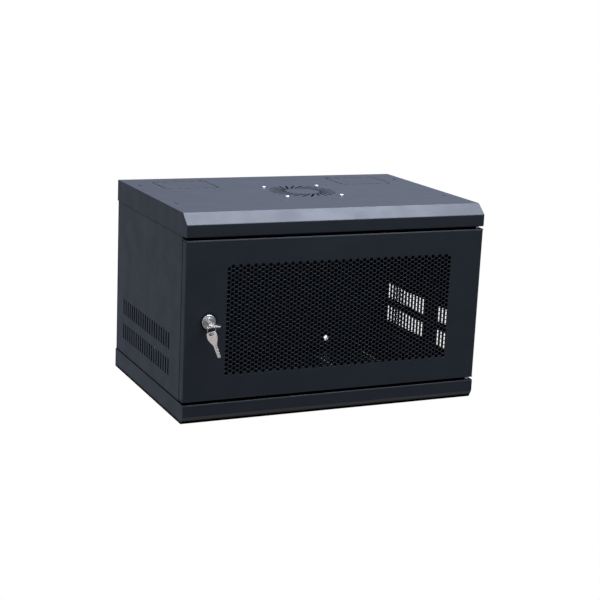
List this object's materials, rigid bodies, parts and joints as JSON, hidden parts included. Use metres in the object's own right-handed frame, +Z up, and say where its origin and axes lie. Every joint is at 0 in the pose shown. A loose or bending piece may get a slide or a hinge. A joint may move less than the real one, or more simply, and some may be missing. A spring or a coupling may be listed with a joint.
{
  "type": "wall-mount network server rack cabinet",
  "caption": "Black steel wall-mount cabinet for 19 inch network equipment: perforated locking front door, slotted sides, sliding rack rails and a fan under the top cover.",
  "frame": {"origin": "centre of the underside of the bottom cover, on the plane that the cabinet stands on", "axes": "+X to the right seen from the front, +Y from the door towards the back, +Z up; the door's front lies at y = -0.183"},
  "size_m": [0.55, 0.413, 0.3522],
  "materials": {
    "black_paint": "satin black powder coat with a fine texture",
    "zinc": "bright zinc plate",
    "nickel": "nickel plate, brushed by use",
    "fan_plastic": "moulded black plastic",
    "copper": "enamelled copper winding",
    "magnet": "matt ferrite"
  },
  "bodies": {
    "cabinet": {"top_cover": "black_paint", "bottom_cover": "black_paint", "side_panel_left": "black_paint", "side_panel_right": "black_paint", "back_panel": "black_paint", "top_rivets": "black_paint", "bottom_rivets": "black_paint", "depth_brackets_left": "black_paint", "depth_brackets_right": "black_paint", "earth_stud": "zinc", "earth_nut": "zinc", "earth_washer": "zinc", "hinge_pin_lower": "zinc", "fan_housing": "fan_plastic", "fan_stator": "copper", "fan_screws": "zinc", "fan_nuts": "zinc"},
    "rail_left": {"rail_left": "black_paint", "rail_bolts_left": "zinc", "rail_nuts_left": "zinc"},
    "rail_right": {"rail_right": "black_paint", "rail_bolts_right": "zinc", "rail_nuts_right": "zinc"},
    "door": {"door_panel": "black_paint", "door_flanges": "black_paint", "hinge_bracket_upper": "zinc", "hinge_bracket_lower": "zinc", "hinge_spring": "zinc", "lock_barrel": "nickel", "lock_nut": "zinc"},
    "hinge_pin": {"hinge_pin_upper": "zinc"},
    "lock": {"lock_plug": "nickel", "lock_cam": "zinc", "cam_screw": "zinc"},
    "key": {"key_inserted": "nickel"},
    "key_ring": {"key_ring": "nickel"},
    "spare_key": {"key_spare": "nickel"},
    "fan": {"fan_rotor": "fan_plastic", "fan_magnet": "magnet", "fan_shaft": "zinc"}
  },
  "joints": [
    {"name": "door_hinge", "type": "hinge", "parent": "cabinet", "child": "door", "pos_m": [0.267, -0.175, 0.173], "axis": [0, 0, 1], "range_deg": [0, 115]},
    {"name": "hinge_pin_slide", "type": "slide", "parent": "door", "child": "hinge_pin", "axis": [0, 0, -1], "range_m": [0, 0.008], "stiffness_N_per_m": 400, "springref_m": -0.012, "deforming": ["hinge_spring"]},
    {"name": "lock_turn", "type": "hinge", "parent": "door", "child": "lock", "pos_m": [-0.234, -0.183, 0.173], "axis": [0, 1, 0], "range_deg": [-90, 0]},
    {"name": "key_slide", "type": "slide", "parent": "lock", "child": "key", "axis": [0, -1, 0], "range_m": [0, 0.018]},
    {"name": "key_ring_hang", "type": "hinge", "parent": "key", "child": "key_ring", "pos_m": [-0.2408, -0.2153, 0.1681], "axis": [0, 1, 0], "range_deg": [0, 90]},
    {"name": "spare_key_swing", "type": "hinge", "parent": "key_ring", "child": "spare_key", "pos_m": [-0.2408, -0.2153, 0.161], "axis": [1, 0, 0], "range_deg": [-20, 12]},
    {"name": "rail_left_slide", "type": "slide", "parent": "cabinet", "child": "rail_left", "axis": [0, 1, 0], "range_m": [-0.05, 0.15]},
    {"name": "rail_right_slide", "type": "slide", "parent": "cabinet", "child": "rail_right", "axis": [0, 1, 0], "range_m": [-0.05, 0.15]},
    {"name": "fan_spin", "type": "hinge", "parent": "cabinet", "child": "fan", "pos_m": [0.012, 0.0085, 0.335], "axis": [0, 0, 1], "continuous": true}
  ],
  "couplings": [
    {"joint": "key_ring_hang", "follows": "lock_turn", "ratio": -1}
  ]
}
